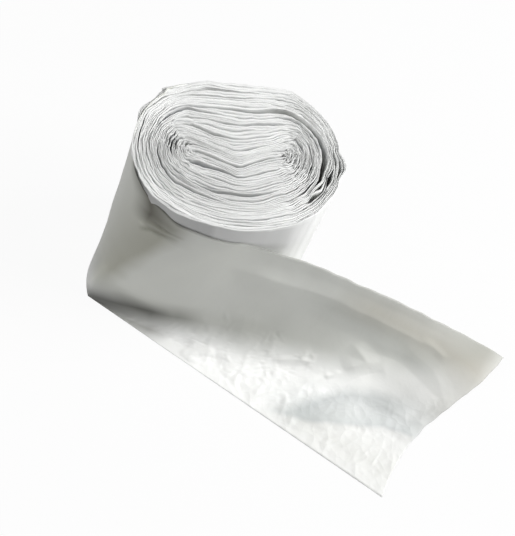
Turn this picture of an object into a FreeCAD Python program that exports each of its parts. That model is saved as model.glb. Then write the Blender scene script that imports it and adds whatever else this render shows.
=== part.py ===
import FreeCAD, Part
import math
import os

# Roll of folded film bin liners standing on its end, the outermost liner run out over the floor.
#
# One continuous web makes the whole thing: it winds round a flattened, bent eye with no core, and
# its outer end peels off the roll, folds at a corner on the floor and runs out as the loose tail.
# So the result is one solid, liner_roll. The turns are pressed together for most of the roll's
# height and stand apart as ridges at its two ends. Z is up the winding axis, X runs along the
# tail's lower edge away from the roll, and the origin is the centre of the roll's base on the
# floor. Millimetres.

from FreeCAD import Vector

SIZES = [
    ("film_width", 140, "width of the folded web, which is the height of the roll"),
    ("roll_width", 121, "long way across the wound roll"),
    ("roll_depth", 99, "short way across the wound roll"),
    ("roll_skew", 35, "angle from X to the long way across, degrees"),
    ("turns", 16, "modelled turns, each standing for a bundle of real ones"),
    ("bundle_share", 0.72, "how much of the pitch each bundle fills at the roll's ends"),
    ("ridge_height", 5, "height over which the turns stand apart at each end of the roll"),
    ("eye_share", 0.45, "length of the flattened eye over the long way across"),
    ("eye_bend", 10, "how far the middle of the eye is bowed to the front"),
    ("rim_bend", 3, "how much of that bow is left at the rim"),
    ("eye_radius", 2, "radius of the bends at the two ends of the eye"),
    ("gap_turns", 5, "turns outside the place where the turns have parted"),
    ("gap_width", 6.5, "how wide they have parted, at the widest"),
    ("gap_angle", -5, "angle of that place from the long way across, degrees"),
    ("gap_front", 42, "angle over which the gap closes towards the front"),
    ("gap_back", 150, "angle over which it closes round the back"),
    ("gap_crowding", 4, "turns over which their neighbours are crowded by it"),
    ("film_thickness", 0.9, "loose film, which is several thin layers and the air in them"),
    ("peel_angle", 165, "where the tail's lower edge leaves the roll, degrees from X"),
    ("pleat_angle", 263, "where the corner fold meets the tail's upper edge, degrees from X"),
    ("leave_angle", 307, "where the tail's upper edge leaves the roll, degrees from X"),
    ("foot_swing", 56, "how long the lower edge swings out along the roll's side before it turns in"),
    ("corner_reach", 46, "corner fold on the floor, from the axis back along the tail"),
    ("toe_offset", 70, "tail's lower edge, from the axis out to the front"),
    ("tail_length", 231, "tail's lower edge, from the corner fold to its end"),
    ("end_span", 133.7, "end edge from corner to corner, less than the width because it is bent"),
    ("end_lead", 24.5, "how far the upper corner of the end runs past the lower one"),
    ("end_notch", 13.4, "depth of the hollow in the end edge"),
    ("notch_place", 0.28, "place of that hollow, over the film's width"),
    ("edge_drop", 14, "fall of the upper edge below the rim where it leaves the roll"),
    ("edge_lead", 52, "how long the upper edge carries on along the roll's side"),
    ("edge_lead_fall", 20, "how far it comes down over that lead"),
    ("end_lift", 14, "height of the tail's upper corner above the floor"),
    ("edge_run", 57.4, "how long the upper edge runs straight into its far corner"),
    ("edge_run_angle", 21.6, "direction of that run over the floor, degrees from X"),
    ("edge_run_rise", 31, "height that it comes down over it"),
    ("valley_run", 190, "the line where the film meets the floor: its pull along the tail"),
    ("valley_reach", 90, "its pull away from the tail's lower edge"),
    ("valley_end", 82, "its distance from the lower edge at the tail's end"),
    ("valley_bend", 0.88, "how sharply the film turns up from the floor there, from 0 to 1"),
]

FACETS = 32                 # flats in each modelled turn
SPINE_SNAP = 3.0            # how sharply the bends sit at the two ends of the eye
PEEL_ROWS, LOOSE_ROWS = 10, 24  # rows of flats along the film, before and after the corner fold
COLUMNS = 10                # flats across the film
STEP = 1e-3                 # small step used to take a direction

doc = FreeCAD.newDocument("liner_roll")
sheet = doc.addObject("Spreadsheet::Sheet", "Sizes")
sheet.Label = "Sizes"
for line, (alias, value, note) in enumerate(SIZES, start=1):
    sheet.set("A%d" % line, alias)
    sheet.set("B%d" % line, str(value))
    sheet.set("C%d" % line, note)
    sheet.setAlias("B%d" % line, alias)
doc.recompute()
size = {alias: float(getattr(sheet, alias)) for alias, _value, _note in SIZES}

half_depth = size["roll_depth"] / 2
spine_eye = size["eye_share"] * size["roll_width"] / 2
spine_rim = (size["roll_width"] - size["roll_depth"]) / 2
full_turn = 2 * math.pi
turns = int(size["turns"])
skew = math.radians(size["roll_skew"])
end_winding = math.radians(size["peel_angle"]) - skew
start_winding = end_winding - full_turn * turns
gap_angle, gap_front, gap_back = (math.radians(size["gap_" + n]) for n in ("angle", "front", "back"))
gap_winding = gap_angle + full_turn * math.floor((end_winding - gap_angle) / full_turn - size["gap_turns"])


def eased(share):
    """From 0 to 1 with a level start and finish."""
    share = min(1.0, max(0.0, share))
    return share * share * (3 - 2 * share)


def parted(winding):
    """How far a turn is pushed out, or in where less than 0, by the gap where the turns have parted."""
    off = (winding - gap_winding + math.pi) % full_turn - math.pi
    open_here = 1 - eased(abs(off) / (gap_back if off > 0 else gap_front))
    outside = round((winding - off - gap_winding) / full_turn)
    crowd = outside - 1 if outside > 0 else -outside
    push = size["gap_width"] / 2 * open_here * math.exp(-crowd / size["gap_crowding"])
    return push if outside > 0 else -push


def winding_point(winding, depth=0.0):
    """Plan of the web: a bent, flat loop growing into the round rim; depth 1 is its inner face."""
    turn = (winding - start_winding) / full_turn + size["bundle_share"] * (1 - depth)
    grown = turn / (turns + size["bundle_share"]) + parted(winding) / half_depth
    spine = spine_eye + (spine_rim - spine_eye) * grown
    radius = size["eye_radius"] + (half_depth - size["eye_radius"]) * grown
    side = math.tanh(SPINE_SNAP * math.cos(winding)) / math.tanh(SPINE_SNAP)
    bow = (size["eye_bend"] + (size["rim_bend"] - size["eye_bend"]) * grown) * (1 - side * side)
    x = spine * side + radius * math.cos(winding)
    y = radius * math.sin(winding) - bow
    return Vector(x * math.cos(skew) - y * math.sin(skew), x * math.sin(skew) + y * math.cos(skew), 0)


def winding_way(winding):
    """Direction in which the web runs there."""
    return (winding_point(winding + STEP, 1) - winding_point(winding - STEP, 1)).normalize()


def closed_face(points):
    """Flat face inside a closed run of points."""
    return Part.Face(Part.makePolygon(points + points[:1]))


def turns_face():
    """Plan of all the turns, as one long closed band."""
    at = [start_winding + full_turn * step / FACETS for step in range(turns * FACETS + 1)]
    return closed_face([winding_point(a) for a in at] + [winding_point(a, 1) for a in reversed(at)])


def pressed_face():
    """Plan of the pressed turns, out to the middle of the last one."""
    first = end_winding - full_turn
    return closed_face([winding_point(first + full_turn * step / FACETS, 0.5)
                        for step in range(FACETS + 1)])


def bezier(points, share):
    """Point of a Bezier curve."""
    while len(points) > 1:
        points = [a * (1 - share) + b * share for a, b in zip(points, points[1:])]
    return points[0]


pleat_winding = math.radians(size["pleat_angle"]) - skew
leave_winding = math.radians(size["leave_angle"]) - skew
corner = Vector(-size["corner_reach"], -size["toe_offset"], 0)
end_low = corner + Vector(size["tail_length"], 0, 0)
end_reach = math.sqrt(size["end_span"] ** 2 - size["end_lead"] ** 2 - size["end_lift"] ** 2)
end_high = end_low + Vector(size["end_lead"], end_reach, size["end_lift"])


def hugging_edge(winding):
    """Upper edge of the tail's hidden face while it still follows the roll's side."""
    fall = ((winding - end_winding) / (leave_winding - end_winding)) ** 2 * size["edge_drop"]
    return winding_point(winding, 1) + Vector(0, 0, size["film_width"] - fall)


def free_edge(share):
    """Upper edge from the roll's side down to its far corner on the floor."""
    leave = hugging_edge(leave_winding)
    run = math.radians(size["edge_run_angle"])
    lead = winding_way(leave_winding) * size["edge_lead"] - Vector(0, 0, size["edge_lead_fall"])
    back = Vector(-math.cos(run) * size["edge_run"], -math.sin(run) * size["edge_run"],
                  size["edge_run_rise"])
    return bezier([leave, leave + lead, end_high + back, end_high], share)


def even_edge():
    """Upper edge from the corner fold to the end, at even steps of its length."""
    fine = 200
    points = [hugging_edge(pleat_winding + (leave_winding - pleat_winding) * k / fine)
              for k in range(fine)]
    points += [free_edge(k / fine) for k in range(fine + 1)]
    gone = [0.0]
    for a, b in zip(points, points[1:]):
        gone.append(gone[-1] + (b - a).Length)

    def at(share):
        want = share * gone[-1]
        k = max(1, next((i for i, g in enumerate(gone) if g >= want), len(gone) - 1))
        part = (want - gone[k - 1]) / (gone[k] - gone[k - 1])
        return points[k - 1] * (1 - part) + points[k] * part
    return at


upper_edge = even_edge()


def valley(along):
    """Distance from the tail's lower edge to the line where the film turns up from the floor."""
    pull, end = size["valley_run"], size["tail_length"]
    share = (pull - math.sqrt(pull * pull - (2 * pull - end) * along)) / (2 * pull - end)
    return 2 * share * (1 - share) * size["valley_reach"] + share * share * size["valley_end"]


def loose_point(share, up):
    """Hidden face of the loose tail: along it from the corner fold, and up across the film."""
    low = corner + Vector(size["tail_length"] * share, 0, 0)
    high = upper_edge(share)
    foot = low + (high - low) * (valley(size["tail_length"] * share) / (high.y - low.y))
    foot.z = 0
    turned = [low, low + (foot - low) * size["valley_bend"],
              high + (foot - high) * size["valley_bend"], high]
    peak = size["notch_place"]
    hollow = (up / peak) * ((1 - up) / (1 - peak)) ** (1 / peak - 1)
    back = size["end_notch"] * hollow * eased((share - 0.85) / 0.15)
    return bezier(turned, up) - Vector(back, 0, 0)


def loose_normal(share, up):
    """Direction from the tail's hidden face to its seen one."""
    a, b = max(0.0, share - 0.01), min(1.0, share + 0.01)
    c, d = max(0.0, up - 0.01), min(1.0, up + 0.01)
    along = loose_point(b, up) - loose_point(a, up)
    across = loose_point(share, d) - loose_point(share, c)
    return along.cross(across).normalize()


def flats(rows):
    """Two flat triangles in each gap between neighbouring rows of points."""
    for row, next_row in zip(rows, rows[1:]):
        for a, b, c, d in zip(row, row[1:], next_row[1:], next_row):
            yield closed_face([a, b, c])
            yield closed_face([a, c, d])


def film_solid(hidden, seen):
    """Closed film from matching rows of points on its hidden face and its seen one."""
    faces = list(flats(hidden)) + list(flats(seen))
    for under, over in ((hidden, seen), (list(zip(*hidden)), list(zip(*seen)))):
        for edge in (0, -1):
            faces += flats([under[edge], over[edge]])
    shell = Part.makeShell(faces)
    shell.sewShape()
    solid = Part.Solid(shell)
    if solid.Volume < 0:
        solid.reverse()
    return solid


def peeling_film():
    """Taut film from the roll's side to the corner fold, its foot swinging out over the floor."""
    foot = winding_point(end_winding, 1)
    ahead = foot + winding_way(end_winding) * size["foot_swing"]
    bundle = winding_point(end_winding) - foot
    fold = loose_normal(0.0, 0.5) * size["film_thickness"]
    hidden, seen = [], []
    for row in range(PEEL_ROWS + 1):
        share = row / PEEL_ROWS
        low = bezier([foot, ahead, corner], share)
        high = hugging_edge(end_winding + (pleat_winding - end_winding) * share)
        out = bundle * (1 - share) + fold * share
        hidden.append([low + (high - low) * (column / COLUMNS) for column in range(COLUMNS + 1)])
        seen.append([point + out for point in hidden[-1]])
    return film_solid(hidden, seen)


def loose_film():
    """Loose film from the corner fold to the liner's end."""
    hidden, seen = [], []
    for row in range(LOOSE_ROWS + 1):
        share = row / LOOSE_ROWS
        up = [column / COLUMNS for column in range(COLUMNS + 1)]
        hidden.append([loose_point(share, u) for u in up])
        out = [loose_normal(share, u if row else 0.5) * size["film_thickness"] for u in up]
        seen.append([point + o for point, o in zip(hidden[-1], out)])
    return film_solid(hidden, seen)


def made(name, shape):
    """A document object that holds a shape worked out above."""
    item = doc.addObject("Part::Feature", name)
    item.Label = name
    item.Shape = shape
    return item


def risen(name, base):
    """A plan extruded upwards."""
    item = doc.addObject("Part::Extrusion", name)
    item.Label = name
    item.Base = base
    item.DirMode = "Custom"
    item.Dir = Vector(0, 0, 1)
    item.Solid = True
    return item


wound = risen("wound_turns", made("turns_plan", turns_face()))
wound.setExpression("LengthFwd", "Sizes.film_width")

pressed = risen("pressed_turns", made("pressed_plan", pressed_face()))
pressed.setExpression("LengthFwd", "Sizes.film_width - 2 * Sizes.ridge_height")
pressed.setExpression("Placement.Base.z", "Sizes.ridge_height")

peeling = made("peeling_film", peeling_film())
loose = made("loose_film", loose_film())

roll = doc.addObject("Part::MultiFuse", "LinerRoll")
roll.Label = "liner_roll"
roll.Shapes = [wound, pressed, peeling, loose]
doc.recompute()

for item in doc.Objects:
    if {"Invalid", "Error"} & set(item.State):
        raise RuntimeError("%s did not recompute" % item.Label)
if roll.Shape.isNull() or not roll.Shape.isValid() or len(roll.Shape.Solids) != 1:
    raise RuntimeError("liner_roll is not one valid solid")

os.makedirs("parts", exist_ok=True)
roll.Shape.exportStep("parts/%s.step" % roll.Label)
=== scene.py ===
"""Looks of the roll of film bin liners: its wound turns, and the liner run out over the floor."""
import math

import bpy
import numpy as np
from mathutils import Matrix, Vector, noise


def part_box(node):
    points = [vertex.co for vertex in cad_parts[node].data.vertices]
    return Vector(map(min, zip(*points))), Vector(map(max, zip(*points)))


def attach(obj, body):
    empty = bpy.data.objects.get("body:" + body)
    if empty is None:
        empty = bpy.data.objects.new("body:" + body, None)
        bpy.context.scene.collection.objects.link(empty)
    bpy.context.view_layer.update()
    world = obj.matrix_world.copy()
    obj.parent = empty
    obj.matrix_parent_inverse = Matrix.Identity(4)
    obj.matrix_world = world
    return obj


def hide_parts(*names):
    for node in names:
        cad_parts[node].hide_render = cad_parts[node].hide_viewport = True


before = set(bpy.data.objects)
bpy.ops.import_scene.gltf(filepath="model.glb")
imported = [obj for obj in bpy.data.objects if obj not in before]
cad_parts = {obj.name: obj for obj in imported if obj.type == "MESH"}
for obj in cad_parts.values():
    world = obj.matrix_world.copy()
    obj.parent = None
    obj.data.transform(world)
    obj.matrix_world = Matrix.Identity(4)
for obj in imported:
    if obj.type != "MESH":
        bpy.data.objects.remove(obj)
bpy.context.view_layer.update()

# Driving sizes of the solid, in metres and radians. The soft pieces lie where it does, but for the
# end edge: END_SPAN and END_NOTCH are smaller here, and END_TRIM sets its upper corner back.
FILM_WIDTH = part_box("liner_roll")[1].z
ROLL_WIDTH, ROLL_DEPTH = 0.121, 0.099
ROLL_SKEW = math.radians(35)
SOLID_TURNS = 16
BUNDLE_SHARE = 0.72
EYE_SHARE = 0.45
EYE_BEND, RIM_BEND = 0.010, 0.003
EYE_RADIUS = 0.002
SPINE_SNAP = 3.0
GAP_TURNS, GAP_WIDTH, GAP_CROWDING = 5, 0.0065, 4
GAP_ANGLE, GAP_FRONT, GAP_BACK = (math.radians(a) for a in (-5, 42, 150))
PEEL_ANGLE, PLEAT_ANGLE, LEAVE_ANGLE = (math.radians(a) for a in (165, 263, 307))
FOOT_SWING = 0.056
CORNER = np.array((-0.046, -0.070, 0))
TAIL_LENGTH = 0.231
END_SPAN, END_LEAD, END_LIFT = 0.1317, 0.0245, 0.014
END_NOTCH, END_TRIM, NOTCH_PLACE = 0.0100, 0.0022, 0.28
EDGE_DROP = 0.014
EDGE_LEAD, EDGE_LEAD_FALL = 0.052, 0.020
EDGE_RUN, EDGE_RUN_ANGLE, EDGE_RUN_RISE = 0.0574, math.radians(21.6), 0.031
VALLEY_RUN, VALLEY_REACH, VALLEY_END, VALLEY_BEND = 0.190, 0.090, 0.082, 0.88

HUG_ANGLE = math.radians(30)    # the loose film's first stretch, under the end of the outer turn
FULL_TURN = 2 * math.pi
HALF_DEPTH = ROLL_DEPTH / 2
SPINE_EYE = EYE_SHARE * ROLL_WIDTH / 2
SPINE_RIM = (ROLL_WIDTH - ROLL_DEPTH) / 2
END_WINDING = PEEL_ANGLE - ROLL_SKEW
PLEAT_WINDING = PLEAT_ANGLE - ROLL_SKEW
LEAVE_WINDING = LEAVE_ANGLE - ROLL_SKEW
STEP = 1e-3                     # small step used to take a direction
UP = np.array((0, 0, 1))


# ---------------------------------------------------------------- the loops that the web follows

def loop_point(grown, winding):
    """Plan of the web: grown is 0 at the flattened eye and 1 at the rim. Works on arrays."""
    spine = SPINE_EYE + (SPINE_RIM - SPINE_EYE) * grown
    radius = EYE_RADIUS + (HALF_DEPTH - EYE_RADIUS) * grown
    side = np.tanh(SPINE_SNAP * np.cos(winding)) / math.tanh(SPINE_SNAP)
    bow = (EYE_BEND + (RIM_BEND - EYE_BEND) * grown) * (1 - side * side)
    x = spine * side + radius * np.cos(winding)
    y = radius * np.sin(winding) - bow
    return (x * math.cos(ROLL_SKEW) - y * math.sin(ROLL_SKEW),
            x * math.sin(ROLL_SKEW) + y * math.cos(ROLL_SKEW))


def rise(share):
    """From 0 to 1 with a level start and finish. Works on arrays."""
    share = np.clip(share, 0, 1)
    return share * share * (3 - 2 * share)


def off_from(winding, angle):
    """Angle from there to each winding, at most half a turn either way."""
    return (winding - angle + math.pi) % FULL_TURN - math.pi


def parted(winding, turns_in, angle, front, back, width, crowding):
    """Push on the turns where they have parted, turns_in from the rim: outward, or inward if
    below 0."""
    place = angle + FULL_TURN * math.floor((END_WINDING - angle) / FULL_TURN - turns_in)
    off = off_from(winding, place)
    open_here = 1 - rise(np.abs(off) / np.where(off > 0, back, front))
    outside = np.round((winding - off - place) / FULL_TURN)
    crowd = np.where(outside > 0, outside - 1, -outside)
    return np.where(outside > 0, 1, -1) * width / 2 * open_here * np.exp(-crowd / crowding)


def rim_point(winding, depth=0.0):
    """Points of the solid's last turn, on the floor; depth 1 is its inner face."""
    turn = (winding - END_WINDING) / FULL_TURN + SOLID_TURNS + BUNDLE_SHARE * (1 - depth)
    push = parted(winding, GAP_TURNS, GAP_ANGLE, GAP_FRONT, GAP_BACK, GAP_WIDTH, GAP_CROWDING)
    x, y = loop_point(turn / (SOLID_TURNS + BUNDLE_SHARE) + push / HALF_DEPTH, winding)
    return np.stack([x, y, np.zeros_like(x)], -1)


def winding_way(winding):
    """Direction in which the web runs there."""
    way = rim_point(winding + STEP, 1) - rim_point(winding - STEP, 1)
    return way / np.linalg.norm(way)


def bezier(points, share):
    """Points of a Bezier curve. Works on arrays."""
    while len(points) > 1:
        points = [a + (b - a) * share for a, b in zip(points, points[1:])]
    return points[0]


# ---------------------------------------------------------------- meshes

def grid_mesh(name, rows, tone_and_painted_shade, closed=False):
    """Object from rows of points and the tone of each, with its painted shade and light; closed
    joins each row's two ends.
    """
    down, across = len(rows), len(rows[0])
    verts = [tuple(point) for row in rows for point in row]
    faces = []
    for i in range(down - 1):
        for j in range(across if closed else across - 1):
            k = (j + 1) % across
            here, below = i * across, (i + 1) * across
            faces.append((here + j, below + j, below + k, here + k))
    if closed:
        faces.append(tuple(range(across)))
        faces.append(tuple(reversed(range((down - 1) * across, down * across))))
    mesh = bpy.data.meshes.new(name)
    mesh.from_pydata(verts, [], faces)
    tones_with_painted_shade = np.concatenate([tone_and_painted_shade.reshape(-1, 3), np.ones((down * across, 1))], 1)
    mesh.attributes.new("tone_and_painted_shade", "FLOAT_COLOR", "POINT").data.foreach_set("color", tones_with_painted_shade.ravel())
    piece = bpy.data.objects.new(name, mesh)
    bpy.context.scene.collection.objects.link(piece)
    return piece


def select_only(piece):
    bpy.ops.object.select_all(action="DESELECT")
    piece.select_set(True)
    bpy.context.view_layer.objects.active = piece


# ---------------------------------------------------------------- the wound turns

WOUND_TURNS = 38            # plies seen at the roll's end
TURN_STEPS = 132            # steps in each
GROWTH_START, GROWTH = -0.03, 1.025     # where the first ply lies, and how far the plies grow
PLY_SEED = 4

# Section of a ply: place over it, drop below its crest, and how much darker it is there, a painted
# shade for the shade in the groove between plies. The first and last drop reach the floor.
CREST = [(-0.49, 1.0, 0), (-0.49, 0.008, 0), (-0.48, 0.003, 0.22), (-0.42, 0.0007, 0.03),
         (-0.28, 0.00012, 0), (0.0, 0.0, 0), (0.28, 0.00012, 0), (0.42, 0.0007, 0.03),
         (0.48, 0.003, 0.22), (0.49, 0.008, 0), (0.49, 0.0095, 0), (0.49, 0.04, 0),
         (0.49, 0.075, 0), (0.49, 0.11, 0), (0.49, 1.0, 0)]
CREST_DROP, FOOT_DROP = 0.02, 0.5       # the crest ends at the first, the foot starts at the next
OUTER_FACE = 0.485                      # place over the ply where its outer face starts
CREST_FALL = 0.0017                     # mean fall of the crests below the film's full width

# Unevenness along the web: strength, reach round the roll, climb from turn to turn, and start.
# Strengths are in plies, metres or shares of tone.
PLY_WAVES = [(0.42, 1.4, 0.75, 0), (0.22, 3.5, 0.55, 9), (0.75, 5.5, 0.22, 33), (0.35, 13, 0.3, 61)]
CRUSH_WAVES = [(1.3, 7, 1.6, 15)]
TOOTH_WAVES = [(0.20, 8, 2.3, 40), (0.12, 22, 3.1, 70)]
CREST_WAVES = [(0.0014, 2.2, 1.7, 0), (0.0005, 16, 2.9, 20)]
TONE_WAVES = [(0.10, 0.7, 1.35, 5)]
LINE_WAVES = [(0.9, 1.2, 2.4, 50)]
BLUE_WAVES = [(0.16, 0.9, 0.5, 80)]
CRUSH_END, CRUSH_FADE = 0.16, 0.1       # growth up to which the plies by the eye are crushed

# Where plies part and show a dark gap: turns in from the rim, angle of the middle, angles over
# which it closes to the front and the back, its width, and the plies that it crowds.
GAPS = [(12, -5, 42, 150, 0.0046, 8), (14, 20, 30, 60, 0.0018, 3), (7, -20, 9, 12, 0.0034, 3),
        (5, 0, 9, 14, 0.0028, 2), (10, -33, 9, 9, 0.0024, 2), (35, 6, 26, 26, 0.0024, 2),
        (33, -22, 20, 20, 0.0018, 2), (31, 8, 16, 16, 0.0014, 2), (17, 225, 60, 60, 0.0020, 3),
        (19, 285, 40, 40, 0.0014, 3), (32, 250, 70, 60, 0.0018, 3), (9, 318, 12, 12, 0.0024, 2),
        (24, 160, 40, 30, 0.0012, 2), (3, -6, 16, 22, 0.0018, 3), (6, 52, 30, 30, 0.0016, 2),
        (26, 20, 30, 60, 0.0016, 3)]
# Small gaps besides: how many, and the ranges that turns, angles, reaches and widths come from.
SMALL_GAPS, SMALL_CROWDING = 26, 2
SMALL_TURNS, SMALL_ANGLES = (2, 36), (0, 360)
SMALL_REACHES, SMALL_WIDTHS = (18, 55), (0.0006, 0.0015)

# Bumps and dents of the rim: angle, reach and height. They die away fast towards the eye.
RIM_BUMPS = [(265, 62, -0.0034), (355, 11, 0.0042), (150, 13, 0.0034), (131, 11, 0.0018),
             (63, 14, 0.0016), (6, 8, -0.0016), (104, 8, 0.0008), (322, 10, -0.0010)]
BUMP_POWER = 6
# Unevenness of the outer side, inward, as a share of its ply: most, reach round the roll, change
# down the side, and the angle over which it fades before the loose film.
SLACK, SLACK_REACH, SLACK_CHANGE, SLACK_FADE = 0.75, 5, 60, 0.25
# The dip in the middle of the inner plies: depth, place, reach, shape, and the growths at which it
# has come and gone. The lift beside it straightens the innermost plies into two arms.
DIP_DEPTH, DIP_WINDING, DIP_REACH = 0.0112, math.radians(91), math.radians(47)
DIP_POWER, DIP_COME, DIP_GONE, DIP_FADE = 1.1, 0.35, 0.72, 0.50
ARM_LIFT, ARM_END = 0.014, 0.45

# The outer plies lie calm except on the right: growth where that starts, its stretch, the cosine of
# the winding angle where the right side begins, and how far calm flattens the crests and takes away
# the dark lines of painted shade between them.
CALM_START, CALM_STRETCH, CALM_SIDE, CALM_CRESTS, CALM_LINES = 0.66, 0.18, 0.85, 0.75, 0.9
# Tone of the crests: at the eye, its gain outward with the growth where that starts and its
# stretch, and its gains where the plies are calm and at the back.
CREST_TONE, RIM_GAIN, GAIN_START, GAIN_STRETCH = 0.925, 0.06, 0.3, 0.5
CALM_GAIN, BACK_GAIN = 0.02, 0.03
# Lines between the plies, as deeper grooves and dark lines of painted shade in them: least
# strength, gain, and how much of the painted shade green and blue take.
LINE_LEAST, LINE_GAIN, LINE_GREEN, LINE_BLUE = 0.25, 1.7, 0.97, 0.93
# Painted shade on the outermost ply's side by winding angle: dark where the film stands off it, for
# the shade in the gap behind the film.
WALL_PAINTED_SHADE = [(0, 0.97), (190, 0.97), (200, 0.25), (210, 0.25), (218, 0.50), (232, 0.60),
              (258.5, 0.62), (259.5, 0.78), (286, 0.80), (305, 0.97), (360, 0.97)]


def wander(winding, reach, climb, start=0.0):
    """Smooth unevenness along the web, from -1 to 1, that drifts from turn to turn."""
    return np.array([noise.noise(Vector((reach * math.cos(w), reach * math.sin(w),
                                         w / FULL_TURN * climb + start))) for w in winding])


def waves(winding, parts):
    """Several wanders together, each with its strength."""
    return sum(strength * wander(winding, *way) for strength, *way in parts)


def small_gaps():
    """Small gaps at random places, told as in GAPS."""
    chance = np.random.default_rng(PLY_SEED)
    return [(int(chance.integers(*SMALL_TURNS)), chance.uniform(*SMALL_ANGLES),
             chance.uniform(*SMALL_REACHES), chance.uniform(*SMALL_REACHES),
             chance.uniform(*SMALL_WIDTHS), SMALL_CROWDING) for _ in range(SMALL_GAPS)]


def ply_growth(winding, step):
    """How far each step of the web has grown from the eye, with the gaps and bumps of its plies."""
    grown = step / step[-1] * GROWTH + GROWTH_START
    grown += waves(winding, PLY_WAVES) / WOUND_TURNS
    grown += (waves(winding, CRUSH_WAVES) * rise((CRUSH_END - grown) / CRUSH_FADE)
              * rise(np.cos(winding)) / WOUND_TURNS)
    for turns_in, angle, front, back, width, crowding in GAPS + small_gaps():
        grown += parted(winding, turns_in, *(math.radians(a) for a in (angle, front, back)),
                        width, crowding) / HALF_DEPTH
    for angle, reach, height in RIM_BUMPS:
        near = 1 - rise(np.abs(off_from(winding, math.radians(angle))) / math.radians(reach))
        grown += height / HALF_DEPTH * near * np.clip(grown, 0, 1) ** BUMP_POWER
    return grown


def middle_dip(at, winding):
    """How far the plies dip to the front in the roll's middle; below 0 they lift."""
    near = np.clip(1 - np.abs(off_from(winding, DIP_WINDING)) / DIP_REACH, 0, 1)
    dip = DIP_DEPTH * near ** DIP_POWER * (rise(at / DIP_COME) * rise((DIP_GONE - at) / DIP_FADE))
    side = np.abs(np.tanh(SPINE_SNAP * np.cos(winding)))
    return dip - ARM_LIFT * side * (1 - side) * (1 - rise(at / ARM_END))


def ply_mesh():
    """The roll's plies, as one band wound from the eye to the rim."""
    count = WOUND_TURNS * TURN_STEPS + 1
    step = np.arange(count)
    winding = END_WINDING - (count - 1 - step) * FULL_TURN / TURN_STEPS
    grown = ply_growth(winding, step)
    above = np.concatenate([grown[TURN_STEPS:], grown[-TURN_STEPS:] + 1 / WOUND_TURNS])
    below = np.concatenate([grown[:TURN_STEPS] - 1 / WOUND_TURNS, grown[:-TURN_STEPS]])
    pitch = np.minimum(above - grown, grown - below)
    tooth = waves(winding, TOOTH_WAVES) / WOUND_TURNS
    crest = FILM_WIDTH - CREST_FALL + waves(winding, CREST_WAVES)
    slack = SLACK * pitch * rise((END_WINDING - HUG_ANGLE - winding) / SLACK_FADE)

    calm = rise((grown - CALM_START) / CALM_STRETCH) * rise(CALM_SIDE - np.cos(winding))
    pale = (CREST_TONE + RIM_GAIN * rise((grown - GAIN_START) / GAIN_STRETCH)
            + waves(winding, TONE_WAVES) + CALM_GAIN * calm + BACK_GAIN * rise(np.sin(winding)))
    # Depth of the grooves between the plies, and the strength of the painted shade in them, with
    # its tint.
    groove_depth_and_shade = ((LINE_LEAST + LINE_GAIN * rise(0.5 + waves(winding, LINE_WAVES)))
             * (1 - CALM_LINES * calm))
    tints = (1, LINE_GREEN, LINE_BLUE + waves(winding, BLUE_WAVES))
    outermost = step > step[-1] - TURN_STEPS
    wall_shade = np.interp(np.degrees(winding) % 360, *zip(*WALL_PAINTED_SHADE))

    sides, tones_with_painted_shade = [], []
    for over, drop, painted_groove_shade in CREST:
        at = grown + over * pitch + tooth * (drop < FOOT_DROP)
        if CREST_DROP < drop < FOOT_DROP:
            uneven = wander(winding % FULL_TURN, SLACK_REACH, 0, SLACK_CHANGE * drop)
            at -= slack * np.clip(0.5 + uneven, 0, 1)
        if drop < CREST_DROP:
            drop = drop * (1 - CALM_CRESTS * calm) * (1 + groove_depth_and_shade) / 2
        x, y = loop_point(at, winding)
        dip = middle_dip(at, winding)
        sides.append(np.stack([x + dip * math.sin(ROLL_SKEW), y - dip * math.cos(ROLL_SKEW),
                               np.maximum(crest - drop, 0)], -1))
        # Painted shade in the grooves, none on the outer half of the outermost ply, and painted
        # shade on that ply's side where the film stands off it.
        painted_groove_shade = np.where(outermost & (over > 0), 0, painted_groove_shade * groove_depth_and_shade)
        shade = np.where(outermost & (over > OUTER_FACE), wall_shade, 1)
        tones_with_painted_shade.append(np.stack([(pale - tint * painted_groove_shade) * shade for tint in tints], -1))
    return grid_mesh("wound_turns", np.stack(sides, 1), np.stack(tones_with_painted_shade, 1), closed=True)


# ---------------------------------------------------------------- the liner run out

END_LOW = CORNER + (TAIL_LENGTH, 0, 0)
END_HIGH = END_LOW + (END_LEAD, math.sqrt(END_SPAN ** 2 - END_LEAD ** 2 - END_LIFT ** 2), END_LIFT)
TRIM_START, END_REACH = 0.4, 0.15       # height up the end and share of the tail that it shapes
EDGE_STEPS = 400                        # steps used to measure the upper edge
HUG_LENGTH, PEEL_LENGTH = 0.030, 0.080
HUG_ROWS, PEEL_ROWS, LOOSE_ROWS, COLUMNS = 10, 60, 232, 130
TUCK = 0.003                # fall of the film's upper edge where it starts under the outer ply
FILM_SEED = 11
FILM_THICKNESS = 0.00025

# The film's upper edge beside the roll: angle round it, distance off its side, and extra fall.
EDGE = [(165, 0.0, 0.0), (225, 0.0, 0.0), (240, 0.0006, 0.0004), (250, 0.0006, 0.0008),
        (263, -0.0005, 0.0020), (276, -0.0011, 0.0036), (290, -0.0014, 0.0035),
        (300, -0.0018, 0.0034), (330, -0.0018, 0.0024)]


def hugging_edge(winding):
    """Upper edge of the film while it still follows the roll's side."""
    fall = ((winding - END_WINDING) / (LEAVE_WINDING - END_WINDING)) ** 2 * EDGE_DROP
    angles, distances, falls = zip(*EDGE)
    off = np.interp(winding + ROLL_SKEW, np.radians(angles), distances)
    fall = fall + np.interp(winding + ROLL_SKEW, np.radians(angles), falls)
    rim = rim_point(winding, 1) * (1 + np.expand_dims(off, -1) / HALF_DEPTH)
    return rim + np.expand_dims(FILM_WIDTH - fall, -1) * UP


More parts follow.
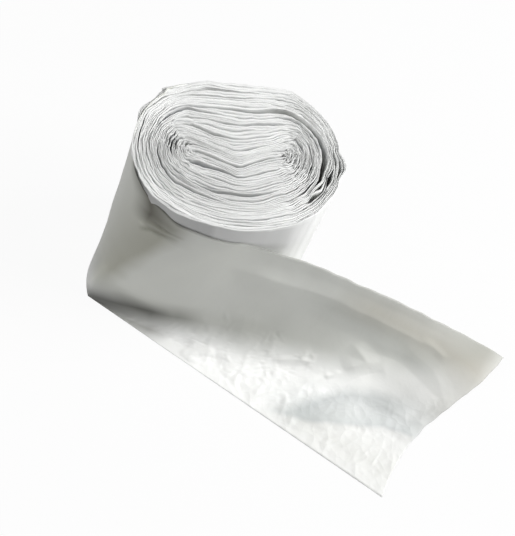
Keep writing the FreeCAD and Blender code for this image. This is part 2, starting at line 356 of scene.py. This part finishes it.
def free_edge(share):
    """Upper edge from the roll's side down to its far corner."""
    leave = hugging_edge(LEAVE_WINDING)
    lead = winding_way(LEAVE_WINDING) * EDGE_LEAD - EDGE_LEAD_FALL * UP
    back = np.array((-math.cos(EDGE_RUN_ANGLE) * EDGE_RUN, -math.sin(EDGE_RUN_ANGLE) * EDGE_RUN,
                     EDGE_RUN_RISE))
    return bezier([leave, leave + lead, END_HIGH + back, END_HIGH], share)


def upper_edge(share):
    """Upper edge from the corner fold to the end, at even steps of its length."""
    fine = np.linspace(0, 1, EDGE_STEPS)
    hugging = hugging_edge(PLEAT_WINDING + (LEAVE_WINDING - PLEAT_WINDING) * fine)
    place = np.concatenate([hugging, free_edge(fine[:, None])[1:]])
    gone = np.concatenate([[0], np.cumsum(np.linalg.norm(np.diff(place, axis=0), axis=1))])
    return np.stack([np.interp(share * gone[-1], gone, place[:, k]) for k in range(3)], -1)


def valley(along):
    """Distance from the lower edge to the line where the film turns up from the floor."""
    spare = 2 * VALLEY_RUN - TAIL_LENGTH
    share = (VALLEY_RUN - np.sqrt(VALLEY_RUN ** 2 - spare * along)) / spare
    return 2 * share * (1 - share) * VALLEY_REACH + share * share * VALLEY_END


def loose_points(share, up):
    """The loose film: share of the way along it from the corner fold, and up across it."""
    low = CORNER + share * (TAIL_LENGTH, 0, 0)
    high = upper_edge(share[:, 0, 0])[:, None]
    foot = low + (high - low) * valley(TAIL_LENGTH * share) / (high - low)[..., 1:2]
    foot[..., 2] = 0
    hollow = (up / NOTCH_PLACE) * ((1 - up) / (1 - NOTCH_PLACE)) ** (1 / NOTCH_PLACE - 1)
    trim = rise((up - TRIM_START) / (1 - TRIM_START))
    back = (END_NOTCH * hollow + END_TRIM * trim) * rise((share - 1 + END_REACH) / END_REACH)
    turned = [low, low + (foot - low) * VALLEY_BEND, high + (foot - high) * VALLEY_BEND, high]
    return bezier(turned, up) - back * (1, 0, 0)


def peel_points(share, up):
    """Taut film from the roll's side to the corner fold."""
    foot = rim_point(np.float64(END_WINDING), 1)
    low = bezier([foot, foot + winding_way(END_WINDING) * FOOT_SWING, CORNER], share)
    high = hugging_edge(END_WINDING + (PLEAT_WINDING - END_WINDING) * share[..., 0])
    return low + (high - low) * up


def hug_points(share, up):
    """The last stretch of the outer turn, before the film leaves the roll."""
    rim = rim_point(END_WINDING - HUG_ANGLE * (1 - share[..., 0]))
    return rim + (FILM_WIDTH - TUCK * (1 - share)) * up * UP


# Creases of the loose film, in mm: how far each stands out, its width to the left and right of
# its run, and the places it runs through, as distance from the corner fold and height up the film.
CREASES = [
    (1.7, 13, 26, [(30, 108), (60, 113), (104, 117), (140, 118), (172, 119), (200, 119)]),
    (0.4, 8, 12, [(163, 112), (184, 106), (198, 103), (208, 98), (218, 90), (236, 78)]),
    (0.4, 4, 6, [(170, 122), (181, 120), (197, 118)]),
    (-0.5, 9, 12, [(136, 87), (150, 89), (164, 92), (178, 95), (196, 92), (216, 87), (240, 79)]),
    (1.2, 9, 14, [(140, 87), (152, 84), (156, 82), (148, 67)]),
    (1.5, 12, 9, [(146, 11), (160, 19), (176, 30), (200, 48), (225, 51), (245, 51)]),
    (-1.2, 10, 9, [(150, 40), (158, 58), (162, 70), (172, 82)]),
    (0.8, 8, 6, [(176, 57), (192, 62), (212, 61), (240, 61)]),
    (0.7, 2.4, 3.2, [(124, -4), (127, 12), (131, 21), (136, 25), (141, 21), (145, 12), (150, 6)]),
    (0.55, 3.2, 2.6, [(92, 39), (93.5, 35), (98, 28), (103, 20), (108, 4)]),
    (0.55, 3.2, 2.6, [(71, 23), (78, 17), (83, 10), (88, 0)]),
    (0.4, 3, 3, [(117, 37), (119, 30), (116, 21)]),
    (0.8, 3, 3, [(148, 64), (147, 58), (143, 52)]),
    (0.8, 4, 6, [(108, 39), (118, 50), (128, 59)]),
    (0.7, 1.7, 1.7, [(192, 39), (196, 27), (194, 19)]),
    (0.7, 1.7, 1.7, [(201, 38), (205, 28), (203, 16)]),
    (0.7, 1.7, 1.7, [(210, 35), (214, 25), (213, 14)]),
    (1.4, 14, 9, [(0, 40), (1, 70), (3, 100), (9, 128), (15, 150)]),
    (1.1, 1.8, 2.6, [(-6, 112), (-1, 120), (5, 123), (13, 126)]),
    (0.9, 1.8, 2.6, [(-1, 127), (5, 129), (12, 132)]),
]
# They fall to nothing as a tent does, a little hollow, and taper at both ends of the run.
TENT_POWER, END_TAPER = 1.2, 6
MM_PER_METRE = 1000

# Streaks that rise from the lower edge by the corner fold, in mm: how many, and the ranges of
# their place along, low end, length, lean, height and widths.
STREAKS = 44
STREAK_PLACES = ((16, 86), (-4, 10), (12, 34), (0.12, 0.34))
STREAK_HEIGHTS, STREAK_WIDTHS = (-0.36, 0.4), (1.4, 3.2)

# Facets and crumples of the film on the floor, in mm: half length, width, height and how many.
FACETS = ((8, 20), (5, 11), 0.8, 80)
CRUMPLES = ((3, 9), (1.2, 2.6), 0.36, 420)
FOLD_ALONG = (50, 229)      # where they lie along the film
FOLD_TOP, FOLD_CROWDING = 62, 1.4       # how far up, and how they crowd towards the lower edge
FOLD_TURN = (100, 28)       # mean and spread of their angle to the lower edge, degrees
FOLD_BEND = 2               # how far the middle of one is moved off its line, at most
FOLD_HEIGHTS = (-0.8, 1)    # share of the height that each has
# Past the first place and above a sloping line the film lies smoother, and past the last one too.
SMOOTH_ALONG, SMOOTH_FOOT, SMOOTH_SLOPE, SMOOTH_SHARE = 146, 6, 0.38, 0.2
END_ALONG, END_SHARE = 185, 0.7

# Swells all over the film: height in mm, how close together along it and up it, and start.
SWELLS = [(1.1, 18, 30, 3), (0.55, 55, 40, 7)]
WARP, WARP_SCALE = 0.0016, 70           # how far and how closely the creases' lines are bent
WARP_SEED = 1795366755                  # noise_vector draws from the clock unless it is seeded
# The relief comes in from this place along the film over this stretch, and over this height
# above the lower edge.
HELD_START, HELD_STRETCH, HELD_FOOT = -0.075, 0.05, 0.006
# Beside the roll, up to there along the film and above there, the relief only stands outward.
BESIDE_END, BESIDE_FOOT, BESIDE_FADE = 0.085, 0.05, 0.02
FLOOR_CLEARANCE = 0.0003
# Raggedness: how close together along the film and up it, and start; at the upper edge its share
# of a column, and how far down it goes as a share of the width; at the cut end its depth, and how
# far in it goes.
RAGGED_WAY = (90, 90, 4)
RAGGED_COLUMN, RAGGED_TOP = 0.7, 0.06
RAGGED_DEPTH, RAGGED_REACH = 0.0012, 0.012
# Rounding of the corner fold: rows to either side, passes, strength, and how it spares the foot.
SOFT_ROWS, SOFT_PASSES, SOFT_STRENGTH, SOFT_POWER = 9, 90, 0.5, 1.5

# Painted shade and painted light on the film: below 1 a painted shade, as in the dark wedge in the
# fold by the corner, the shade over its standing part and its end, and the dark pocket by the roll;
# above 1 a painted light on the turned-up film by the corner; and thin bright and dark pairs by the
# upper edge paint the light and shade of its crinkles. Each gives its share of the film's colour,
# its width to the left and right of its run, and the run, in mm as above.
PAINTED_SHADE_AND_LIGHT = [
    ((0.28, 0.28, 0.265), 12, 18, [(-6, -9), (2, 3), (10, 13), (20, 25), (34, 35)]),
    ((0.50, 0.50, 0.49), 17, 18, [(-6, -9), (2, 3), (16, 22), (38, 34), (54, 40)]),
    ((0.84, 0.84, 0.83), 22, 20, [(4, 8), (16, 22), (40, 35), (70, 44), (104, 54)]),
    ((0.42, 0.42, 0.405), 18, 20, [(-12, -14), (8, -3), (24, 3), (36, 6), (54, 12)]),
    ((0.90, 0.90, 0.89), 34, 14, [(60, 52), (100, 64), (140, 76)]),
    ((0.66, 0.66, 0.655), 52, 54, [(168, 86), (205, 80), (228, 76), (300, 72)]),
    ((0.73, 0.725, 0.70), 38, 38, [(266, 52), (240, 84), (226, 112), (205, 172)]),
    ((0.85, 0.85, 0.835), 34, 34, [(128, 10), (180, 16), (232, 18), (290, 18)]),
    ((0.86, 0.83, 0.79), 22, 22, [(104, 122), (140, 123), (185, 123), (215, 122), (245, 115)]),
    ((0.84, 0.845, 0.84), 24, 24, [(86, 106), (140, 112), (175, 108), (200, 104)]),
    ((0.76, 0.785, 0.795), 38, 4, [(132, 3), (160, 19), (176, 30), (200, 48), (250, 53)]),
    ((0.76, 0.775, 0.78), 10, 17,
     [(145, 2), (152, 22), (158, 40), (168, 54), (186, 64), (212, 70)]),
    ((0.62, 0.61, 0.55), 46, 8, [(-3, 18), (-1, 40), (2, 75), (5, 100), (9, 123), (13, 150)]),
    ((1.13, 1.13, 1.12), 24, 44, [(2, 6), (14, 66), (28, 110), (44, 150)]),
    ((0.13, 0.12, 0.09), 25, 15, [(-36, 152), (-16, 143), (-7, 138), (-3, 130), (-1, 114)]),
    ((1.28, 1.28, 1.26), 1.9, 1.9, [(-6, 112), (-1, 120), (5, 123), (13, 126)]),
    ((0.60, 0.60, 0.55), 3, 2, [(-4, 107), (2, 116), (8, 120), (16, 123)]),
    ((1.20, 1.20, 1.18), 1.9, 1.9, [(-1, 127), (5, 129), (12, 132)]),
    ((0.72, 0.72, 0.68), 2, 2, [(2, 123), (9, 127), (18, 129)]),
    ((1.16, 1.16, 1.15), 9, 6, [(-11, -14), (-8, 10), (-6, 26), (-5, 52)]),
]
# Painted shade along the film's upper edge by distance from the corner fold, in metres: it dulls
# the edge's rim against a bright line of light, and darkens it most beside the roll, for the shade
# of the gap there.
EDGE_PAINTED_SHADE = [(-0.05, 1.0), (-0.015, 0.45), (0.055, 0.45), (0.075, 0.8), (TAIL_LENGTH, 0.75)]


def nearness(place, left, right, run):
    """1 along a run of straight lines, falling to 0 at its widths and at its two ends."""
    run = np.array(run) / MM_PER_METRE
    lengths = np.linalg.norm(np.diff(run, axis=0), axis=1)
    nearest = np.full(place.shape[:2], np.inf)
    near = np.zeros(place.shape[:2])
    for start, end, gone, length in zip(run, run[1:], np.cumsum(lengths) - lengths, lengths):
        way = (end - start) / length
        from_start = place - start
        along = np.clip(from_start @ way, 0, length)
        off = from_start - along[..., None] * way
        distance = np.linalg.norm(off, axis=-1)
        side = way[0] * off[..., 1] - way[1] * off[..., 0]
        done = (gone + along) / lengths.sum()
        tent = np.clip(1 - MM_PER_METRE * distance / np.where(side > 0, left, right), 0, 1)
        taper = np.clip(END_TAPER * done * (1 - done), 0, 1)
        near = np.where(distance < nearest, tent ** TENT_POWER * taper, near)
        nearest = np.minimum(distance, nearest)
    return near


def unevenness(place, along, up, start):
    """Smooth unevenness over the film, from -1 to 1."""
    return np.array([[noise.noise(Vector((along * x, up * y, start))) for x, y in row]
                     for row in place])


def streaks(place, chance):
    """Height of the streaks by the corner fold."""
    lift = np.zeros(place.shape[:2])
    for _ in range(STREAKS):
        x, low, long, lean = (chance.uniform(*places) for places in STREAK_PLACES)
        height = chance.uniform(*STREAK_HEIGHTS)
        lift += height * nearness(place, *chance.uniform(*STREAK_WIDTHS, 2),
                                  [(x + lean * long, low), (x, low + long)])
    return lift


def calmed(along, up):
    """Share of a fold's height that is left there, as the film lies smoother towards its end."""
    above = up > SMOOTH_FOOT + SMOOTH_SLOPE * (along - SMOOTH_ALONG)
    left = SMOOTH_SHARE if along > SMOOTH_ALONG and above else 1
    return left * (END_SHARE if along > END_ALONG else 1)


def scattered_folds(place, chance):
    """Height of the facets and crumples on the floor."""
    lift = np.zeros(place.shape[:2])
    for reaches, widths, high, count in (FACETS, CRUMPLES):
        for _ in range(count):
            middle = np.array((chance.uniform(*FOLD_ALONG),
                               FOLD_TOP * chance.uniform(0, 1) ** FOLD_CROWDING))
            turn = math.radians(chance.normal(*FOLD_TURN))
            reach = np.array((math.cos(turn), math.sin(turn))) * chance.uniform(*reaches)
            bent = middle + chance.uniform(-FOLD_BEND, FOLD_BEND, 2)
            height = calmed(*middle) * high * chance.uniform(*FOLD_HEIGHTS)
            lift += height * nearness(place, *chance.uniform(*widths, 2),
                                      [middle - reach, bent, middle + reach])
    return lift


def film_relief(place):
    """How far the film stands out at each place of its flat: along from the corner fold, and up."""
    chance = np.random.default_rng(FILM_SEED)
    lift = sum(height * nearness(place, left, right, run) for height, left, right, run in CREASES)
    lift = lift + streaks(place, chance) + scattered_folds(place, chance)
    for height, *way in SWELLS:
        lift = lift + height * unevenness(place, *way)
    return lift / MM_PER_METRE


def softened(place, row):
    """The film with its fold at that row rounded off, but for its lowest part."""
    share = np.exp(-((np.arange(len(place)) - row) / SOFT_ROWS) ** 2)[1:-1, None, None]
    spared = rise(np.linspace(0, 2, place.shape[1])) ** SOFT_POWER
    share = SOFT_STRENGTH * share * spared[None, :, None]
    for _ in range(SOFT_PASSES):
        place[1:-1] += share * ((place[:-2] + place[2:]) / 2 - place[1:-1])
    return place


def smooth_film(up):
    """Points of the film without its relief, and the place of each in the film's flat."""
    place, along, start = [], [], -HUG_LENGTH - PEEL_LENGTH
    for points, rows, length in ((hug_points, HUG_ROWS, HUG_LENGTH),
                                 (peel_points, PEEL_ROWS, PEEL_LENGTH),
                                 (loose_points, LOOSE_ROWS, TAIL_LENGTH)):
        share = np.linspace(0, 1, rows, endpoint=points is loose_points)
        place.append(points(share[:, None, None], up[None, :, None]))
        along.append(start + share * length)
        start += length
    place = softened(np.concatenate(place), HUG_ROWS + PEEL_ROWS)
    steps = np.linalg.norm(np.diff(place, axis=1, prepend=place[:, :1]), axis=-1)
    gone = np.cumsum(steps, axis=1)
    along = np.broadcast_to(np.concatenate(along)[:, None], gone.shape)
    return place, np.stack([along, gone / gone[:, -1:] * FILM_WIDTH], -1)


def held_relief(flat, warped):
    """The relief, but none where the film is held, and none inward beside the roll."""
    held = rise((flat[..., 0] - HELD_START) / HELD_STRETCH) * rise(flat[..., 1] / HELD_FOOT)
    relief = film_relief(warped) * held
    beside = (rise((BESIDE_END - flat[..., 0]) / BESIDE_FADE)
              * rise((flat[..., 1] - BESIDE_FOOT) / BESIDE_FADE))
    return np.maximum(relief, relief * (1 - beside))


def liner_mesh():
    """The liner run out: its smooth film with the relief, the ragged edges and the tone, which is
    painted shade and painted light.
    """
    up = np.linspace(0, 1, COLUMNS + 1)
    place, flat = smooth_film(up)
    across = np.cross(np.gradient(place, axis=0), np.gradient(place, axis=1))
    out = across / np.linalg.norm(across, axis=-1, keepdims=True)
    noise.seed_set(WARP_SEED)
    warp = [[noise.noise_vector(Vector((WARP_SCALE * x, WARP_SCALE * y, 0)))[:2] for x, y in row]
            for row in flat]
    warped = flat + WARP * np.array(warp)
    place = place + out * held_relief(flat, warped)[..., None]
    place[..., 2] = np.maximum(place[..., 2], FLOOR_CLEARANCE)

    ragged = unevenness(flat, *RAGGED_WAY)
    column = np.diff(place[:, -2:], axis=1)
    top = rise((up - 1 + RAGGED_TOP) / RAGGED_TOP)[None, :, None]
    place = place + RAGGED_COLUMN * ragged[..., None] * column * top
    end = rise((flat[..., 0] - TAIL_LENGTH + RAGGED_REACH) / RAGGED_REACH)
    place[..., 0] += RAGGED_DEPTH * ragged * end

    # Painted shade and painted light over the film.
    tone_and_painted_shade = np.ones_like(place)
    for shade, left, right, run in PAINTED_SHADE_AND_LIGHT:
        tone_and_painted_shade *= 1 - (1 - np.array(shade)) * nearness(warped, left, right, run)[..., None]
    # Painted shade along the upper edge.
    tone_and_painted_shade[:, -1] *= np.interp(flat[:, -1, 0], *zip(*EDGE_PAINTED_SHADE))[:, None]
    return grid_mesh("loose_liner", place, tone_and_painted_shade)


# ---------------------------------------------------------------- materials

WHITE = (1, 1, 1, 1)
# Films: their colour where they lie low and where they stand, and their least roughness. The loose
# film's darker olive where it stands is painted shade; the wound film is darker and warmer at its
# foot.
WOUND_FILM = ((0.80, 0.80, 0.77, 1), (0.885, 0.89, 0.88, 1), 0.42)
LOOSE_FILM = ((0.945, 0.95, 0.935, 1), (0.70, 0.71, 0.67, 1), 0.45)
FILM_IOR = 1.5
CLOUD_SCALE, CLOUD_DETAIL = 22.0, 3.0
CLOUD_LIFT, CLOUD_GLOSS = 0.008, 0.16   # how far the clouds shift the colours and the roughness
STAND_FOOT, STAND_TOP = 0.003, 0.028    # heights between which the film goes over to standing
# Fine folds: how close together and of what kind, and the bump that they make.
FOLD_SCALE, FOLD_DETAIL, FOLD_ROUGHNESS, FOLD_DISTORTION = 42.0, 5.0, 0.6, 0.3
BUMP_STRENGTH, BUMP_DISTANCE = 0.28, 0.0012
# Facets where the film lies on the floor, away from the roll: how close together, their share of
# the bump, how far and how closely they are bent, and the heights and X between which they come.
FACET_SCALE, FACET_SHARE, FACET_BEND, BEND_SCALE = 150.0, 1.4, 0.012, 60.0
LYING_TOP, LYING_FOOT = 0.007, 0.001
AWAY_START, AWAY_END = 0.0, 0.05


class Value:
    """A number or colour in a material, on which Python's operators add Math nodes."""

    def __init__(self, tree, socket):
        self.tree, self.socket = tree, socket

    def _math(self, operation, *values):
        return node(self.tree, "ShaderNodeMath", {"operation": operation},
                    dict(enumerate(values)))["Value"]

    def __add__(self, other):
        return self._math("ADD", self, other)

    def __sub__(self, other):
        return self._math("SUBTRACT", self, other)

    def __rsub__(self, other):
        return self._math("SUBTRACT", other, self)

    def __mul__(self, other):
        return self._math("MULTIPLY", self, other)

    __radd__, __rmul__ = __add__, __mul__


def input_of(made, name):
    """A node's input by its name, or by its number where several share a name."""
    if isinstance(name, int):
        return made.inputs[name]
    return next(socket for socket in made.inputs if socket.enabled and socket.name == name)


def node(tree, kind, settings=None, inputs=None):
    """Any node: its type, its settings, and the values or links of its sockets. Returns its
    outputs by name."""
    made = tree.nodes.new(kind)
    for name, value in (settings or {}).items():
        setattr(made, name, value)
    for name, value in (inputs or {}).items():
        if isinstance(value, Value):
            tree.links.new(value.socket, input_of(made, name))
        else:
            input_of(made, name).default_value = value
    return {out.name: Value(tree, out) for out in made.outputs if out.enabled}


def noise_cloud(tree, place, scale, **settings):
    """Noise over the piece: its outputs by name."""
    return node(tree, "ShaderNodeTexNoise", inputs={"Vector": place, "Scale": scale, **settings})


def between(tree, value, start, end):
    """From 0 at start to 1 at end, with a level start and finish."""
    return node(tree, "ShaderNodeMapRange", {"interpolation_type": "SMOOTHSTEP"},
                {"Value": value, "From Min": start, "From Max": end})["Result"]


def seen(tree):
    """1 for the rays that show the background: the camera's, and those of gloss and glass."""
    ray = node(tree, "ShaderNodeLightPath")
    return ray["Is Camera Ray"] + ray["Is Glossy Ray"] + ray["Is Transmission Ray"]


def material(name):
    made = bpy.data.materials.new(name)
    made.use_nodes = True
    made.node_tree.nodes.clear()
    return made, made.node_tree


def film_material(name, low, high, gloss):
    """White high-density film: its low and standing colours mixed by height, the loose film's
    standing colour being painted shade, times the tone attribute with its painted shade and light.
    """
    made, tree = material(name)
    place = node(tree, "ShaderNodeTexCoord")["Object"]
    apart = node(tree, "ShaderNodeSeparateXYZ", inputs={"Vector": place})
    tone_and_painted_shade = node(tree, "ShaderNodeAttribute", {"attribute_name": "tone_and_painted_shade"})["Color"]
    cloud = noise_cloud(tree, place, CLOUD_SCALE, Detail=CLOUD_DETAIL)["Fac"]
    creases = noise_cloud(tree, place, FOLD_SCALE, Detail=FOLD_DETAIL, Roughness=FOLD_ROUGHNESS,
                          Distortion=FOLD_DISTORTION)["Fac"]
    folded = node(tree, "ShaderNodeMath", {"operation": "ABSOLUTE"}, {0: creases - 0.5})["Value"]
    bent = node(tree, "ShaderNodeVectorMath", {"operation": "MULTIPLY_ADD"},
                {0: noise_cloud(tree, place, BEND_SCALE)["Color"], 1: (FACET_BEND,) * 3,
                 2: place})["Vector"]
    facets = node(tree, "ShaderNodeTexVoronoi",
                  inputs={"Vector": bent, "Scale": FACET_SCALE})["Distance"]
    lying = between(tree, apart["Z"], LYING_TOP, LYING_FOOT)
    away = between(tree, apart["X"], AWAY_START, AWAY_END)
    # The loose film goes over to its painted shade colour where it stands; the wound film to its
    # lighter colour above its foot.
    standing = between(tree, apart["Z"] + CLOUD_LIFT * cloud, STAND_FOOT, STAND_TOP)
    colour = node(tree, "ShaderNodeMix", {"data_type": "RGBA"},
                  {"Factor": standing, "A": low, "B": high})["Result"]
    # The tone attribute multiplies in its painted shade and light.
    colour_with_painted_shade = node(tree, "ShaderNodeMix", {"data_type": "RGBA", "blend_type": "MULTIPLY"},
                 {"Factor": 1.0, "A": colour, "B": tone_and_painted_shade})["Result"]
    bump = node(tree, "ShaderNodeBump", inputs={
        "Strength": BUMP_STRENGTH, "Distance": BUMP_DISTANCE,
        "Height": folded + facets * lying * away * FACET_SHARE})["Normal"]
    shader = node(tree, "ShaderNodeBsdfPrincipled", inputs={
        "Base Color": colour_with_painted_shade, "Roughness": gloss + CLOUD_GLOSS * cloud, "IOR": FILM_IOR,
        "Normal": bump})["BSDF"]
    node(tree, "ShaderNodeOutputMaterial", inputs={"Surface": shader})
    return made


# ---------------------------------------------------------------- stage, light and camera

FLOOR_SIZE, FLOOR_COLOUR = 8, (0.80, 0.80, 0.80, 1)
FLOOR_GLOW = 0.94           # how much of the floor the camera sees as plain white
FILL = 0.06                 # strength of the light that comes from all round
LAMPS = [((0.66, 0.35, 0.66), 0.7, 22.0), ((-0.3, -0.5, 0.8), 0.9, 7.0)]   # from there, size, power
LAMP_REACH = 1.5
CAMERA_PLACE = Vector((0.0989, -0.3008, 0.6114))
CAMERA_FALL, CAMERA_TURN, CAMERA_ROLL = (math.radians(a) for a in (28, 11.71, 23.4))
CAMERA_LENS, CAMERA_SENSOR = 67.16, 36.0


def floor_material():
    """Pale floor that the camera sees as near white, with the object's shadow kept."""
    made, tree = material("pale_floor")
    matt = node(tree, "ShaderNodeBsdfDiffuse", inputs={"Color": FLOOR_COLOUR})["BSDF"]
    white = node(tree, "ShaderNodeEmission", inputs={"Color": WHITE, "Strength": 1.0})["Emission"]
    both = node(tree, "ShaderNodeMixShader",
                inputs={0: seen(tree) * FLOOR_GLOW, 1: matt, 2: white})["Shader"]
    node(tree, "ShaderNodeOutputMaterial", inputs={"Surface": both})
    return made


def lay_floor():
    bpy.ops.object.select_all(action="DESELECT")
    bpy.ops.mesh.primitive_plane_add(size=FLOOR_SIZE, location=(0, 0, 0))
    floor = bpy.context.object
    floor.name = "floor"
    floor.data.materials.append(floor_material())


def light_studio():
    world = bpy.data.worlds.new("studio")
    bpy.context.scene.world = world
    world.use_nodes = True
    tree = world.node_tree
    tree.nodes.clear()
    light = node(tree, "ShaderNodeBackground", inputs={
        "Color": WHITE, "Strength": FILL + (1 - FILL) * seen(tree)})["Background"]
    node(tree, "ShaderNodeOutputWorld", inputs={"Surface": light})

    for way, size, power in LAMPS:
        light = bpy.data.lights.new("softbox", "AREA")
        light.size, light.energy = size, power
        lamp = bpy.data.objects.new("softbox", light)
        lamp.location = Vector(way).normalized() * LAMP_REACH
        lamp.rotation_euler = Vector(way).to_track_quat("Z", "Y").to_euler()
        bpy.context.scene.collection.objects.link(lamp)


def set_camera():
    eye = bpy.data.cameras.new("camera")
    eye.lens, eye.sensor_width = CAMERA_LENS, CAMERA_SENSOR
    camera = bpy.data.objects.new("camera", eye)
    turned = (Matrix.Rotation(CAMERA_TURN, 3, "Z") @ Matrix.Rotation(CAMERA_FALL, 3, "X")
              @ Matrix.Rotation(CAMERA_ROLL, 3, "Z"))
    camera.matrix_world = Matrix.Translation(CAMERA_PLACE) @ turned.to_4x4()
    bpy.context.scene.collection.objects.link(camera)
    bpy.context.scene.camera = camera
    bpy.context.scene.view_settings.view_transform = "Standard"


wound = ply_mesh()
liner = liner_mesh()
for piece, film in ((wound, film_material("wound_film", *WOUND_FILM)),
                    (liner, film_material("loose_film", *LOOSE_FILM))):
    piece.data.materials.append(film)
    for face in piece.data.polygons:
        face.use_smooth = True
    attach(piece, "root")
    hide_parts("liner_roll")

select_only(liner)
solid = liner.modifiers.new("film", "SOLIDIFY")
solid.thickness, solid.offset = FILM_THICKNESS, 1.0
bpy.ops.object.modifier_apply(modifier=solid.name)

lay_floor()
light_studio()
set_camera()
